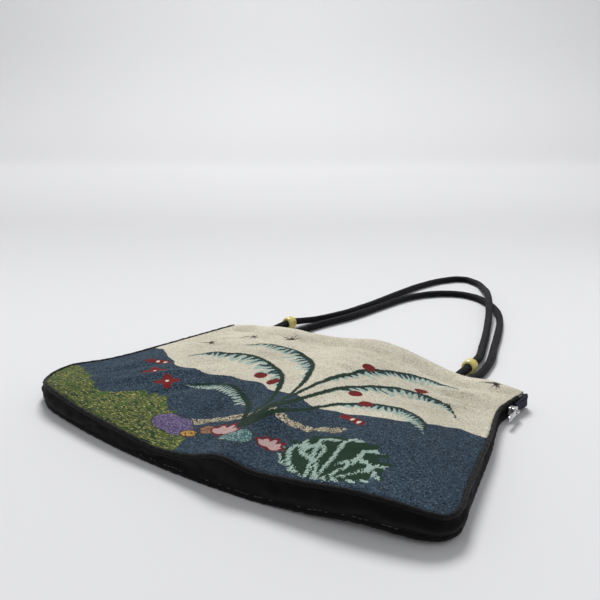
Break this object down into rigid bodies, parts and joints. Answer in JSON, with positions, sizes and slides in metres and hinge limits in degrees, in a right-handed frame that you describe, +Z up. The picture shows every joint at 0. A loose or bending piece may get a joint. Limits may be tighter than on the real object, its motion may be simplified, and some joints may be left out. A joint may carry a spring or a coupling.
{
  "type": "tapestry tote bag",
  "caption": "Flat tapestry tote bag lying on its back panel, with a piped cloth gusset, an open zip at the mouth, two rolled cord handles and round beads on the front one.",
  "frame": {"origin": "on the surface the bag lies on, at the middle of the bag's outline without its handles", "axes": "+X along the base edge, to the right as seen from above with the mouth at the top; +Y from the base towards the mouth and the handles; +Z up from the surface, out of the tapestry panel"},
  "size_m": [0.3756, 0.5943, 0.0298],
  "materials": {
    "tapestry": "matte",
    "black_cloth": "matte",
    "piping_cloth": "satin",
    "zip_tape": "matte",
    "zip_metal": "polished",
    "cord_cloth": "matte",
    "bead": "gloss"
  },
  "bodies": {
    "bag": {"front_panel": "tapestry", "back_panel": "black_cloth", "gusset": "black_cloth", "piping_front": "piping_cloth", "piping_back": "piping_cloth", "zip_tape_front": "zip_tape", "zip_tape_back": "zip_tape", "zip_tail": "zip_tape", "zip_slider": "zip_metal", "handle_front": "cord_cloth", "handle_back": "cord_cloth", "bead_front_left": "bead", "bead_front_right": "bead"},
    "pull": {"zip_pull": "zip_metal"}
  },
  "joints": [
    {"name": "zip_pull_swing", "type": "hinge", "parent": "bag", "child": "pull", "pos_m": [0.15919, 0.08626, 0.0074], "axis": [0, 0, 1], "range_deg": [0, 150]}
  ]
}
